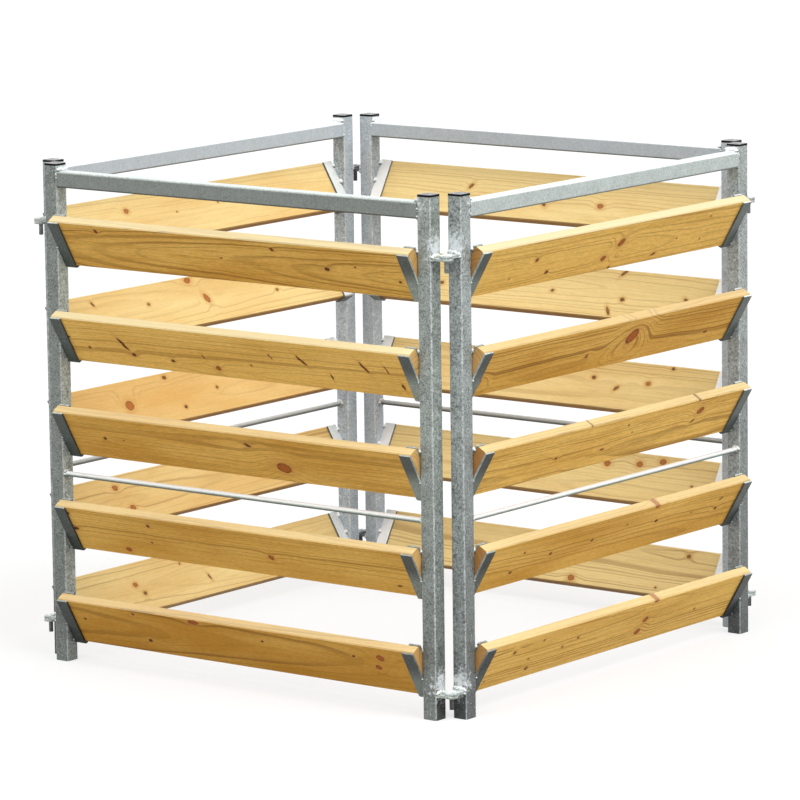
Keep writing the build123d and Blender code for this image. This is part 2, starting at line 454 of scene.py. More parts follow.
class ZincCoat:
    """Hot-dip zinc on one node: cloudy patches, small crystals, speckle, soiling and painted shade near the
    ground, painted light by facing, and bright marks with painted glints.

    Faces that look into the bin are painted lighter, as lit, and are smoother, and get less of the
    darkening near the ground.
    """

    def __init__(self, panel, kind):
        self.panel = panel
        self.name = f"{panel}_{kind}"
        self.look = ZINC_BY_KIND[kind]._replace(**ZINC_BY_NODE.get(self.name, {}))
        self.material, self.nodes, self.shader = new_material("zinc_" + self.name, ZINC_METALLIC)
        self.place, self.normal = self.nodes.coordinates()
        self.direction = self.nodes.split(self.normal)
        self.height = self.nodes.split(self.place)[2]
        self.cloud = self.nodes.noise(self.place, CLOUD_SCALE, 4.0, 0.6)
        self.spangle = self.crystals()
        self.speckle = self.nodes.noise(self.place, SPECKLE_SCALE, 3.0, 0.85)
        self.tell_faces_apart()

    def crystals(self):
        """Shades of the zinc's crystals, whose borders wander a little."""
        nodes = self.nodes
        warp = nodes.add("TexNoise")
        nodes.feed(warp.inputs["Vector"], self.place)
        warp.inputs["Scale"].default_value = CRYSTAL_WARP_SCALE
        reach = (CRYSTAL_WARP, CRYSTAL_WARP, CRYSTAL_WARP)
        crystal = nodes.add("TexVoronoi")
        crystal.inputs["Scale"].default_value = CRYSTAL_SCALE
        bent = nodes.vector_math("MULTIPLY_ADD", warp.outputs["Color"], reach, self.place)[0]
        nodes.feed(crystal.inputs["Vector"], bent)
        return nodes.dot(crystal.outputs["Color"], CRYSTAL_SHADES)

    def tell_faces_apart(self):
        """Which way a face looks: into the bin, out of it, or along the panel."""
        nodes = self.nodes
        level = nodes.vector(*nodes.split(self.place)[:2], 0.0)
        self.inside = nodes.step(nodes.dot(level, self.normal), -0.3, 0.3, 1.0, 0.0)
        across = nodes.dot(self.normal, panel_inward(self.panel))
        self.outer = nodes.step(across, -0.7, -0.3, 1.0, 0.0)
        # Painted light on faces that look into the bin, less of it on those that look along the panel
        span_light = nodes.step(
            self.height, *SPAN_LIGHT_HEIGHTS, LOW_SPAN_LIGHT[self.panel], HIGH_SPAN_LIGHT
        )
        self.inner_light = nodes.times(self.inside, nodes.step(across, 0.3, 0.7, span_light, 1.0))

    def mottle(self):
        """Brightness of the coat, with its grain, and painted light by panel, by node and by facing."""
        nodes, look = self.nodes, self.look
        texture = nodes.sum(
            nodes.times(self.cloud, CLOUD_WEIGHT),
            nodes.times(self.spangle, CRYSTAL_WEIGHT),
            nodes.times(self.speckle, SPECKLE_WEIGHT),
            -GRAIN_MEAN,
        )
        shade = look.shade * ZINC_LIGHT_BY_PANEL[self.panel]
        inner = (look.inner or look.shade) * ZINC_LIGHT_BY_PANEL[self.panel]
        tone = nodes.blend(self.inside, shade, inner)
        grain = nodes.times(tone, nodes.blend(self.inner_light, look.grain, INSIDE_GRAIN * look.grain))
        top = nodes.step(self.direction[2], 0.6, 0.95, 1.0, look.top)
        return nodes.times(nodes.sum(nodes.times(texture, grain), tone), top)

    def bracket_shade(self):
        """Painted light on a bracket: its side edges darkened as shadowed or lightened as lit, and its legs
        graded from foot to tip.
        """
        nodes, look = self.nodes, self.look
        # Painted shade or highlight on the bar's side edges
        square = nodes.math("ABSOLUTE", nodes.dot(self.normal, panel_along(self.panel)))
        edge = nodes.step(square, 0.75, 0.95, 1.0, look.cut)
        row_pitch = board_axes("front_slat_2")[0].z - board_axes("front_slat_1")[0].z
        rows = nodes.math("DIVIDE", nodes.minus(self.height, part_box(self.name)[0].z), row_pitch)
        leg = nodes.step(nodes.math("FRACT", rows), *LEG_LIGHT_ROWS, look.leg_foot, look.leg_tip)
        return edge, leg

    def ground_dirt_and_shade(self):
        """How much the soiling and painted shade near the ground take away."""
        nodes, panel = self.nodes, self.panel
        # Painted shadow under the lugs at the foot of faces that don't look out
        foot = nodes.blend(self.outer, END_FOOT_SHADOW, FOOT_DIRT_AND_SHADE[panel])
        stain = nodes.blend(self.outer, GROUND_DIRT_AND_SHADE, OUTER_DIRT_AND_SHADE[panel])
        dirt_and_shade_top = nodes.blend(self.outer, GROUND_DIRT_AND_SHADE_TOP, OUTER_DIRT_AND_SHADE_TOP[panel])
        undarkened = nodes.times(
            nodes.step(self.height, 0.0, dirt_and_shade_top, stain, 1.0),
            nodes.step(self.height, 0.0, FOOT_DIRT_AND_SHADE_TOP, foot, 1.0),
        )
        indoors = nodes.blend(self.inside, 1.0, INSIDE_DIRT_AND_SHADE[panel])
        return nodes.times(nodes.minus(1.0, undarkened), self.look.stain, indoors)

    def bright_marks(self):
        """Specks, painted glints along the posts' rounded corners, and splashes round the welds."""
        nodes, look = self.nodes, self.look
        bright = nodes.step(self.speckle, 0.64, 0.72, 0.0, SPECK_BRIGHTNESS * look.grain)
        if look.glints:
            # Painted highlight: a broken bright line down the rounded corners of the posts
            corner = nodes.math("ABSOLUTE", nodes.times(self.direction[0], self.direction[1]))
            glint_breaks = nodes.noise(self.place, CORNER_GLINT_SCALE, 4.0, 0.75)
            broken = nodes.step(glint_breaks, 0.36, 0.66, CORNER_GLINT_LEAST * look.glints, look.glints)
            bright = nodes.greatest(bright, nodes.times(nodes.step(corner, 0.26, 0.49), broken))
        if self.name in SPLASHED_POSTS:
            for spot in lug_roots(self.panel) + rail_roots(self.panel):
                away = nodes.length(nodes.place(self.place, spot, 0.0, SPLASH_SIZE))
                rag = nodes.times(nodes.noise(self.place, SPLASH_SCALE, 5.0, 0.75), SPLASH_RAGGEDNESS)
                splash = nodes.step(nodes.sum(away, rag), 1.45, 2.0, SPLASH_BRIGHTNESS, 0.0)
                bright = nodes.greatest(bright, splash)
        return bright

    def paint(self):
        """Puts the layers together and returns the material."""
        nodes, look, shader = self.nodes, self.look, self.shader
        mottle = self.mottle()
        if look.cut:
            mottle = nodes.times(mottle, *self.bracket_shade())
        mottle = nodes.times(mottle, nodes.minus(1.0, self.ground_dirt_and_shade()))
        # Painted shade and light: darker as the face looks down, lighter as it looks up
        base = nodes.mix(nodes.step(self.direction[2], -0.6, 0.95), ZINC_SHADED_UNDERSIDE, ZINC_LIT_TOP)
        # Painted light on faces that look into the bin
        base = nodes.mix(self.inner_light, base, look.tint, "MULTIPLY")
        base = nodes.mix(1.0, base, TINT_BY_PANEL[self.panel], "MULTIPLY")
        base = nodes.mix(1.0, base, nodes.grey(mottle), "MULTIPLY")
        base = nodes.mix(1.0, base, ZINC_CEILING, "DARKEN")
        base = nodes.mix(self.bright_marks(), base, ZINC_PALE_MARK_AND_GLINT)
        nodes.feed(shader.inputs["Base Color"], base)
        shader.inputs["Specular IOR Level"].default_value = look.gloss
        nodes.feed(shader.inputs["Roughness"], nodes.step(self.spangle, 0.1, 0.9, *ZINC_ROUGHNESS))
        relief = nodes.sum(nodes.times(self.cloud, 0.5), nodes.times(self.speckle, 0.3))
        nodes.feed(shader.inputs["Normal"], nodes.bump(relief, ZINC_BUMP, 0.5))
        return self.material


# Black plastic of the caps. Their tops are painted lighter grey as a sheen, and dusty in patches.
CAP_BLACK = colour(0.004, 0.004, 0.0045)
CAP_TOP_SHEEN = colour(0.16, 0.16, 0.16)
CAP_TOP_DUST_AND_SHEEN = colour(0.34, 0.34, 0.33)
CAP_GLOSS = 0.12
CAP_SIDE_ROUGHNESS = 0.65
CAP_TOP_ROUGHNESS = 0.26
CAP_GRAIN_SCALE = 1500.0
CAP_DUST_SCALE = 90.0
CAP_BUMP = 0.0002


def plastic_material():
    """Black moulded plastic with a fine grain; its top is painted lighter as a sheen, with dusty patches.
    """
    material, nodes, shader = new_material("cap_plastic")
    place, normal = nodes.coordinates()
    grain = nodes.noise(place, CAP_GRAIN_SCALE, 2.0)
    dust = nodes.step(nodes.noise(place, CAP_DUST_SCALE, 4.0, 0.6), 0.45, 0.8)
    top = nodes.step(nodes.split(normal)[2], 0.5, 0.95)
    # Painted sheen on top, with dusty patches
    base = nodes.mix(top, CAP_BLACK, nodes.mix(dust, CAP_TOP_SHEEN, CAP_TOP_DUST_AND_SHEEN))
    nodes.feed(shader.inputs["Base Color"], base)
    shader.inputs["Specular IOR Level"].default_value = CAP_GLOSS
    nodes.feed(shader.inputs["Roughness"], nodes.blend(top, CAP_SIDE_ROUGHNESS, CAP_TOP_ROUGHNESS))
    nodes.feed(shader.inputs["Normal"], nodes.bump(grain, CAP_BUMP, 0.4))
    return material


# Softwood boards. A knot's place is a share of the board's length and height, as seen from outside.
# Its radius is in millimetres; stretch and tilt (degrees) draw it out into a spike.
# A pith lies so far up from the board's middle and so deep behind it, in metres; its tilt is a slope.
# Knots push the rings towards the pith, or away from it where a board's push is negative.
Knot = namedtuple("Knot", "along up radius stretch tilt", defaults=(1.3, 0.0))
Pith = namedtuple("Pith", "up depth tilt")
Board = namedtuple(
    "Board", "grain tint knots pith pale_edge dark_end ring_width push",
    defaults=(None, 0.45, 0.4, None, 1.0),
)

BOARDS = {
    "front_slat_5": Board(1.0, 0.40, (
        Knot(0.13, 0.86, 3.6, 1.3, -50), Knot(0.47, 0.52, 1.6), Knot(0.625, 0.83, 3.0, 1.5, -35),
        Knot(0.76, 0.50, 3.6, 1.6), Knot(0.84, 0.60, 1.8), Knot(0.95, 0.37, 2.4),
    ), Pith(-0.006, 0.0359, -0.050), pale_edge=0.7, dark_end=0.2),
    "front_slat_4": Board(0.3, 0.05, (
        Knot(0.185, 0.52, 3.2, 5.0, -55), Knot(0.205, 0.30, 3.8), Knot(0.08, 0.36, 2.6),
        Knot(0.03, 0.56, 1.8), Knot(0.315, 0.26, 3.2), Knot(0.44, 0.20, 4.2),
        Knot(0.41, 0.44, 1.6, 3.0, -60), Knot(0.54, 0.36, 2.0), Knot(0.605, 0.62, 1.5, 4.0, -60),
        Knot(0.69, 0.60, 2.6, 5.0, -50), Knot(0.76, 0.30, 2.0, 3.0, -80),
        Knot(0.86, 0.60, 2.6, 5.0, -55), Knot(0.92, 0.60, 1.5, 6.0, -65),
        Knot(0.95, 0.25, 2.2, 3.0, -75),
    ), pale_edge=0.8, dark_end=0.1),
    "front_slat_3": Board(0.5, 0.52, (
        Knot(0.125, 0.49, 3.2), Knot(0.18, 0.50, 1.5), Knot(0.545, 0.76, 3.5, 2.2, -20),
        Knot(0.625, 0.32, 9.5, 1.5, -5),
    ), dark_end=0.1),
    "front_slat_2": Board(0.6, 0.40, (
        Knot(0.03, 0.85, 2.6), Knot(0.035, 0.50, 3.4, 1.8), Knot(0.26, 0.80, 2.6, 1.6, -30),
        Knot(0.17, 0.15, 4.6), Knot(0.25, 0.40, 2.2), Knot(0.59, 0.45, 4.4, 1.3, -30),
        Knot(0.93, 0.20, 1.8, 3.0),
    ), dark_end=0.0),
    "front_slat_1": Board(0.7, 0.80, (
        Knot(0.215, 0.90, 2.6), Knot(0.235, 0.30, 3.4), Knot(0.39, 0.93, 4.5, 2.6),
        Knot(0.06, 0.60, 2.4), Knot(0.575, 0.72, 2.2), Knot(0.90, 0.75, 6.0), Knot(0.885, 0.52, 4.8),
        Knot(0.825, 0.70, 2.2),
    ), Pith(0.004, 0.045, 0.040), dark_end=0.35),
    "right_slat_5": Board(0.40, -0.1, (
        Knot(0.225, 0.57, 3.6), Knot(0.285, 0.24, 3.6), Knot(0.15, 0.25, 1.5),
        Knot(0.535, 0.59, 6.4, 1.4, 40), Knot(0.49, 0.29, 5.2), Knot(0.53, 0.05, 2.6),
        Knot(0.69, 0.15, 2.4, 3.0, 15), Knot(0.76, 0.42, 1.6), Knot(0.86, 0.30, 1.6),
        Knot(0.86, 0.80, 1.8),
    ), pale_edge=0.9, dark_end=0.75),
    "right_slat_4": Board(1.25, 0.55, (
        Knot(0.572, 0.60, 12.0, 1.35, 40), Knot(0.42, 0.36, 3.4, 1.3, 40),
        Knot(0.03, 0.30, 7.0, 1.2, 30), Knot(0.88, 0.30, 2.0, 3.0),
    ), Pith(-0.032, 0.026, 0.010), dark_end=0.2, ring_width=0.0068, push=-1.0),
    "right_slat_3": Board(1.1, 0.0, (
        Knot(0.825, 0.72, 6.2, 1.5, 15), Knot(0.81, 0.50, 2.4, 2.6, 40), Knot(0.54, 0.80, 1.8),
        Knot(0.57, 0.60, 1.6), Knot(0.475, 0.35, 2.0, 3.0), Knot(0.30, 0.42, 2.8),
        Knot(0.39, 0.99, 1.8), Knot(0.80, 0.99, 2.8),
    ), dark_end=0.85),
    "right_slat_2": Board(0.5, 0.40, (
        Knot(0.635, 0.98, 4.6, 1.6), Knot(0.66, 0.60, 3.2), Knot(0.90, 0.50, 3.2),
        Knot(0.905, 0.72, 2.0, 3.0, 30), Knot(0.80, 0.55, 1.6), Knot(0.42, 0.55, 3.2),
        Knot(0.27, 0.50, 3.2), Knot(0.16, 0.70, 2.2), Knot(0.14, 0.30, 3.0), Knot(0.54, 0.70, 1.8),
    ), dark_end=0.8),
    "right_slat_1": Board(1.1, -0.05, (
        Knot(0.63, 0.99, 4.6, 1.4), Knot(0.62, 0.56, 5.4, 1.3, 15), Knot(0.61, 0.30, 5.6, 1.3, 15),
        Knot(0.36, 0.62, 2.6), Knot(0.31, 0.50, 2.2), Knot(0.12, 0.72, 3.2), Knot(0.22, 0.82, 2.2),
        Knot(0.19, 0.45, 2.2), Knot(0.20, 0.22, 3.4), Knot(0.05, 0.20, 1.6), Knot(0.82, 0.45, 1.8),
    ), dark_end=0.6),
    "left_slat_5": Board(0.4, 0.27, (
        Knot(0.765, 0.68, 4.6), Knot(0.45, 0.56, 2.0), Knot(0.60, 0.50, 1.8), Knot(0.30, 0.70, 2.6),
    )),
    "left_slat_4": Board(0.5, 0.27, (
        Knot(0.54, 0.92, 5.6, 1.4), Knot(0.50, 0.50, 5.8, 1.6, 55), Knot(0.88, 0.80, 2.6, 2.0, 60),
        Knot(0.70, 0.60, 3.0), Knot(0.25, 0.40, 3.0),
    )),
    "left_slat_3": Board(0.6, 0.75, (
        Knot(0.78, 0.50, 8.5, 1.15), Knot(0.60, 0.25, 3.6), Knot(0.47, 0.50, 3.0),
        Knot(0.63, 0.90, 3.6, 1.6), Knot(0.20, 0.60, 4.0),
    )),
    "left_slat_2": Board(0.95, 0.45, (
        Knot(0.82, 0.75, 4.8), Knot(0.79, 0.30, 4.8), Knot(0.40, 0.50, 3.4), Knot(0.15, 0.40, 2.6),
    )),
    "left_slat_1": Board(0.75, 0.25, (
        Knot(0.77, 0.56, 4.0), Knot(0.75, 0.36, 3.6), Knot(0.52, 0.36, 2.4, 3.0, 65),
        Knot(0.60, 0.75, 2.2), Knot(0.22, 0.50, 4.4),
    )),
    "back_slat_5": Board(0.5, 0.0, (
        Knot(0.50, 0.36, 3.8, 1.8, 45), Knot(0.34, 0.40, 4.6), Knot(0.315, 0.85, 3.4, 2.2, -50),
        Knot(0.72, 0.60, 3.6, 1.8, -50),
    )),
    "back_slat_4": Board(0.5, -0.05, (
        Knot(0.48, 0.45, 3.0), Knot(0.28, 0.40, 3.8), Knot(0.295, 0.94, 3.0, 3.0, -50),
        Knot(0.31, 0.14, 3.0, 3.0, 60), Knot(0.105, 0.50, 3.0, 2.0, 30), Knot(0.80, 0.40, 3.4),
    )),
    "back_slat_3": Board(0.8, 0.12, (
        Knot(0.37, 0.60, 3.8), Knot(0.216, 0.59, 4.2), Knot(0.30, 0.43, 3.4, 2.0, -40),
        Knot(0.16, 0.94, 3.0), Knot(0.75, 0.45, 3.6),
    )),
    "back_slat_2": Board(0.8, 0.05, (
        Knot(0.249, 0.77, 5.0), Knot(0.187, 0.87, 5.2), Knot(0.338, 0.71, 5.0), Knot(0.09, 0.45, 2.0),
        Knot(0.68, 0.60, 3.0, 2.0, 40),
    )),
    "back_slat_1": Board(0.9, -0.1, (
        Knot(0.42, 0.12, 5.2), Knot(0.115, 0.85, 3.6), Knot(0.18, 0.15, 2.0), Knot(0.70, 0.50, 3.6),
    )),
}

# Colours of the wood: outer faces; edges, with painted light above and painted shade below; sawn ends; and
# the faces inside the bin, painted paler as lit
WOOD_PALE = colour(0.86, 0.545, 0.140)
WOOD_TAN = colour(0.56, 0.272, 0.033)
WOOD_LINE = colour(0.25, 0.098, 0.014)
WOOD_FLECK = colour(0.50, 0.245, 0.036)
WOOD_UPPER_EDGE_LIGHT = colour(0.84, 0.735, 0.455)
WOOD_LOWER_EDGE_SHADE = colour(0.20, 0.090, 0.026)
WOOD_END_PALE = colour(0.66, 0.41, 0.150)
WOOD_END_DARK = colour(0.36, 0.150, 0.040)
WOOD_END_LINE = colour(0.16, 0.062, 0.016)
WOOD_INNER_LIGHT = colour(0.85, 0.660, 0.305)
WOOD_INNER_WARM_LIGHT = colour(0.71, 0.430, 0.145)
WOOD_GLOSS = 0.1
WOOD_ROUGHNESS = (0.50, 0.68)
WOOD_BUMP = 0.0003
PATCH_STRENGTH = 1.6
PATCH_MEAN = 0.77
FLECK_STRENGTH = 0.60
# Faces inside the bin have less contrast and fainter knots: painted light
INNER_CONTRAST = 0.32
INNER_LINE_CONTRAST = 0.60
INNER_KNOT_COVER = 0.85
GRIT_SHADES = (0.86, 1.13)

# Growth rings. A board without a pith of its own gets one by chance, within these limits.
TEXTURE_SHIFT = 50.0
PITH_UP = 0.04
PITH_DEPTHS = (0.02, 0.05)
PITH_TILT = 0.03
RING_WIDTHS = (0.0060, 0.0092)
RING_DRIFT = 0.022
RING_RIPPLE = 0.0022
RING_UNEVENNESS = 2.6
RING_UNEVENNESS_SCALE = 110.0
GRADUAL_DARKENING = 0.14
SHARP_DARKENING = 0.86

# Knots
KNOT_SIZE = 1.2
KNOT_REACH = 5.0
KNOT_PUSH = 170.0
KNOT_WOBBLE_ALONG = 0.006
KNOT_WOBBLE_UP = 0.004
KNOT_RING_RATE = 17.0
KNOT_BREAK_SCALE = 260.0
FAR_FROM_KNOTS = 100.0
LIVE_KNOT_RADIUS = 4.0
LIVE_EDGE = colour(0.10, 0.026, 0.006)
LIVE_HEART = colour(0.44, 0.125, 0.024)
DEAD_EDGE = colour(0.055, 0.018, 0.006)
DEAD_HEART = colour(0.24, 0.085, 0.022)
KNOT_HALO = colour(0.62, 0.30, 0.075)


class BoardWood:
    """A sawn board: growth rings about a pith, flecks, and knots that bend the rings."""

    def __init__(self, node, board, seed):
        self.board = board
        self.chance = random.Random(seed)
        self.material, self.nodes, self.shader = new_material("wood_" + node)
        nodes = self.nodes
        centre, self.along_axis, self.up_axis, self.out_axis = board_axes(node)
        self.place, self.normal = nodes.coordinates()
        moved = nodes.vector_math("SUBTRACT", self.place, centre)[0]
        self.along = nodes.dot(moved, self.along_axis)
        self.up = nodes.dot(moved, self.up_axis)
        self.out = nodes.dot(moved, self.out_axis)
        self.shift = Vector([self.chance.uniform(-TEXTURE_SHIFT, TEXTURE_SHIFT) for _ in range(3)])
        self.outer = nodes.step(nodes.dot(self.normal, self.out_axis), -0.4, 0.4)
        self.fibre = self.drawn_noise(4.5, 260.0, 3.0, 0.65)
        face = self.uneven_face()
        live = [knot for knot in board.knots if knot.radius >= LIVE_KNOT_RADIUS]
        dead = [knot for knot in board.knots if knot.radius < LIVE_KNOT_RADIUS]
        self.near_live, live_bend = self.knot_field(live, face)
        self.near_dead, dead_bend = self.knot_field(dead, face)
        self.nearest = nodes.math("MINIMUM", self.near_live, self.near_dead)
        self.late = self.growth_rings(live_bend, dead_bend)

    def drawn_noise(self, along_scale, across_scale, detail=2.0, roughness=0.5):
        """Noise that is drawn out along the grain."""
        nodes = self.nodes
        spot = nodes.vector(
            nodes.sum(nodes.times(self.along, along_scale), self.shift.x),
            nodes.sum(nodes.times(self.up, across_scale), self.shift.y),
            nodes.sum(nodes.times(self.out, across_scale), self.shift.z),
        )
        return nodes.noise(spot, 1.0, detail, roughness)

    def wave(self, along_scale, across_scale, detail, roughness=0.5):
        """Drawn-out noise about nought."""
        return self.nodes.minus(self.drawn_noise(along_scale, across_scale, detail, roughness), 0.5)

    def uneven_face(self):
        """Place on the board's face, shaken a little so that knots aren't smooth ovals."""
        nodes = self.nodes
        wobble = self.wave(110.0, 160.0, 3.0, 0.6)
        return nodes.vector(
            nodes.sum(self.along, nodes.times(wobble, KNOT_WOBBLE_ALONG)),
            nodes.sum(self.up, nodes.times(wobble, KNOT_WOBBLE_UP)),
            0.0,
        )

    def knot_field(self, knots, face):
        """Distance to the nearest of some knots, in knot radii, and how far they push the rings."""
        nodes = self.nodes
        nearest = FAR_FROM_KNOTS
        bend = 0.0
        for knot in knots:
            radius = KNOT_SIZE * knot.radius * MILLIMETRE
            spot = ((knot.along - 0.5) * SLAT_LENGTH, (knot.up - 0.5) * SLAT_HEIGHT, 0.0)
            size = (radius * knot.stretch, radius, 1.0)
            distance = nodes.length(nodes.place(face, spot, math.radians(knot.tilt), size))
            push = self.board.push * KNOT_PUSH * radius ** 2
            nearest = nodes.math("MINIMUM", nearest, distance)
            bend = nodes.sum(bend, nodes.step(distance, 0.0, KNOT_REACH, push, 0.0))
        return nearest, bend

    def growth_rings(self, live_bend, dead_bend):
        """Darkness of the late wood: each ring darkens slowly, then sharply, and ends at once."""
        nodes, chance, shift = self.nodes, self.chance, self.shift
        side = chance.choice((-1, 1))
        pith = self.board.pith or Pith(
            chance.uniform(-PITH_UP, PITH_UP),
            side * chance.uniform(*PITH_DEPTHS),
            chance.uniform(-PITH_TILT, PITH_TILT),
        )
        ring_width = self.board.ring_width or chance.uniform(*RING_WIDTHS)
        up_from_pith = nodes.minus(self.up, pith.up)
        out_from_pith = nodes.sum(self.out, nodes.times(self.along, pith.tilt), pith.depth)
        from_pith = nodes.length(nodes.vector(up_from_pith, out_from_pith, 0.0))
        radius = nodes.sum(
            from_pith,
            nodes.times(self.wave(2.2, 9.0, 2.0, 0.4), RING_DRIFT),
            nodes.times(self.wave(14.0, 40.0, 1.0), RING_RIPPLE),
            live_bend,
            dead_bend,
        )
        uneven = nodes.noise(nodes.vector(radius, shift.x, shift.y), RING_UNEVENNESS_SCALE, 1.0)
        rings = nodes.sum(nodes.math("DIVIDE", radius, ring_width), nodes.times(uneven, RING_UNEVENNESS))
        part = nodes.math("FRACT", rings)
        gradual = nodes.step(part, 0.30, 0.95, 0.0, GRADUAL_DARKENING)
        sharp = nodes.step(part, 0.72, 0.86, 0.0, SHARP_DARKENING)
        fall = nodes.step(part, 0.95, 1.0, 1.0, 0.0)
        year = nodes.noise(nodes.vector(rings, shift.y, shift.z), 0.8, 0.0)
        strength = nodes.step(year, 0.3, 0.7, 0.45, 1.0)
        # Lines fade where the rings lie flat in the face
        slant = nodes.math("DIVIDE", nodes.math("ABSOLUTE", up_from_pith), from_pith)
        fade = nodes.step(slant, 0.05, 0.60, 0.30, 1.0)
        return nodes.times(nodes.sum(gradual, sharp), fall, strength, fade)

    def plain_wood(self):
        """Colour of clear wood: warm and pale patches, dashes, streaks, ring lines and grit."""
        nodes, board = self.nodes, self.board
        patch = nodes.times(self.drawn_noise(3.5, 16.0, 3.0), PATCH_STRENGTH)
        warm = nodes.math("ADD", patch, board.tint - PATCH_MEAN, clamp=True)
        # Faces inside the bin are painted paler and with less contrast, as lit
        contrast = nodes.blend(self.outer, INNER_CONTRAST, 1.0)
        line_contrast = nodes.blend(self.outer, INNER_LINE_CONTRAST, 1.0)
        inner_lit_wood = nodes.mix(warm, WOOD_INNER_LIGHT, WOOD_INNER_WARM_LIGHT)
        base = nodes.mix(self.outer, inner_lit_wood, nodes.mix(warm, WOOD_PALE, WOOD_TAN))
        fleck = self.drawn_noise(15.0, 430.0, 2.0, 0.5)
        strength = FLECK_STRENGTH * (0.4 + 0.6 * board.grain)
        dashes = nodes.times(nodes.step(fleck, 0.57, 0.70, 0.0, strength), contrast)
        streaks = nodes.times(nodes.step(self.fibre, 0.45, 0.75, 0.0, strength), contrast)
        lines = nodes.times(self.late, 0.25 + 0.60 * board.grain, line_contrast)
        base = nodes.mix(dashes, base, WOOD_FLECK)
        base = nodes.mix(streaks, base, WOOD_FLECK)
        base = nodes.mix(lines, base, WOOD_LINE)
        grit = self.drawn_noise(90.0, 640.0, 2.0, 0.6)
        return nodes.mix(contrast, base, nodes.grey(nodes.step(grit, 0.25, 0.75, *GRIT_SHADES)), "MULTIPLY")

    def with_knots(self, base):
        """Adds the knots: small dead ones are dark, bigger live ones are red with a broken dark rim."""
        nodes = self.nodes
        base = nodes.mix(nodes.step(self.nearest, 0.9, 2.6, 0.45, 0.0), base, KNOT_HALO)
        cover = nodes.blend(self.outer, INNER_KNOT_COVER, 1.0)
        broken = nodes.step(nodes.noise(self.place, KNOT_BREAK_SCALE, 2.0, 0.7), 0.40, 0.60)
        dead = nodes.times(nodes.step(self.near_dead, 0.70, 1.10, 1.0, 0.0), cover)
        base = nodes.mix(dead, base, nodes.mix(broken, DEAD_EDGE, DEAD_HEART))
        live = nodes.times(nodes.step(self.near_live, 0.84, 1.08, 1.0, 0.0), cover)
        rings = nodes.math("SINE", nodes.times(self.near_live, KNOT_RING_RATE))
        rim = nodes.times(nodes.step(self.near_live, 0.55, 0.90), nodes.blend(broken, 1.0, 0.35))
        dark = nodes.math("MAXIMUM", nodes.step(rings, -1.0, 4.0), rim, clamp=True)
        return nodes.mix(live, base, nodes.mix(dark, LIVE_HEART, LIVE_EDGE))

    def with_edges(self, base):
        """Adds the painted light on the upper edge, the painted shade on the lower edge, and the sawn ends.
        """
        nodes, board = self.nodes, self.board
        lift = nodes.dot(self.normal, self.up_axis)
        off_knots = nodes.step(self.nearest, 0.5, 1.1, 0.5, 1.0)
        # Painted light on the upper edge, kept off the knots
        upper = nodes.times(nodes.step(lift, 0.35, 0.85, 0.0, board.pale_edge), off_knots)
        base = nodes.mix(upper, base, WOOD_UPPER_EDGE_LIGHT)
        # Painted shade on the lower edge
        base = nodes.mix(nodes.step(lift, -0.35, -0.85, 0.0, 0.8), base, WOOD_LOWER_EDGE_SHADE)
        square = nodes.math("ABSOLUTE", nodes.dot(self.normal, self.along_axis))
        end_wood = nodes.mix(board.dark_end, WOOD_END_PALE, WOOD_END_DARK)
        end_wood = nodes.mix(nodes.times(self.late, 0.5), end_wood, WOOD_END_LINE)
        return nodes.mix(nodes.step(square, 0.5, 0.8, 0.0, 0.95), base, end_wood)

    def paint(self):
        """Puts the layers together and returns the material."""
        nodes, shader = self.nodes, self.shader
        base = self.with_edges(self.with_knots(self.plain_wood()))
        nodes.feed(shader.inputs["Base Color"], base)
        shader.inputs["Specular IOR Level"].default_value = WOOD_GLOSS
        nodes.feed(shader.inputs["Roughness"], nodes.step(self.fibre, 0.2, 0.8, *WOOD_ROUGHNESS))
        relief = nodes.sum(nodes.times(self.fibre, 0.6), nodes.times(self.late, 0.4))
        nodes.feed(shader.inputs["Normal"], nodes.bump(relief, WOOD_BUMP, 0.6))
        return self.material


# Eased edges of the bars
JOIN_DISTANCE = 0.00002
EASE_WIDTH = 0.0006
EASE_SEGMENTS = 2
EASE_ANGLE = math.radians(40.0)


def dress_nodes():
    """Gives every CAD node its material, and eases the sharp edges of the bars."""
    plastic = plastic_material()
    for name, node in frame["nodes"].items():
        panel, piece = name.split("_", 1)
        if piece.startswith("slat"):
            material = BoardWood(name, BOARDS[name], sorted(BOARDS).index(name)).paint()
        elif piece == "end_caps":
            material = plastic
        else:
            material = ZincCoat(panel, piece).paint()
        for slot in node.material_slots:
            slot.material = material
        if piece.endswith(("brackets", "lugs", "pins")):
            ease_edges(node)


def ease_edges(node):
    """Rounds the sharp edges of a CAD node a little."""
    weld = node.modifiers.new("join_faces", "WELD")
    weld.merge_threshold = JOIN_DISTANCE
    bevel = node.modifiers.new("ease", "BEVEL")
    bevel.width = EASE_WIDTH
    bevel.segments = EASE_SEGMENTS
    bevel.limit_method = "ANGLE"
    bevel.angle_limit = EASE_ANGLE


# Welds. They are placed as on the front panel and turned with their own panel. Each panel has lumps of
# its own, and its lugs are at heights of their own.
WELD_VOXEL = 0.0008
WELD_FLATNESS = 0.8
LUMP_WAVES = 380.0
LUMP_WAVE_HEIGHT = 0.30
LUMP_SHIFT = 90.0
BEAD_STEP = 0.8
BEAD_SIZES = (0.75, 1.2)
BEAD_JITTER = 0.2

# Rail ends: a fillet on top, lumps on the side seams and a bead underneath
RAIL_WELD_INSET = 0.0035
FILLET_RADIUS = 0.0036
FILLET_OFFSET = 0.0027
SEAM_RADIUS = 0.0020
SEAM_SIZES = (0.6, 1.2)
SEAM_STRETCH = 1.4
SEAM_LUMPS = 4
SEAM_DEPTH = 0.0008
UNDER_BEAD_RADIUS = 0.0026
UNDER_BEAD_RISE = 0.0004

# Rod ends
ROD_WELD_RADIUS = 0.0044
ROD_WELD_SIZES = (0.75, 1.1)
ROD_WELD_STEP = 60
ROD_WELD_JITTER = 15.0

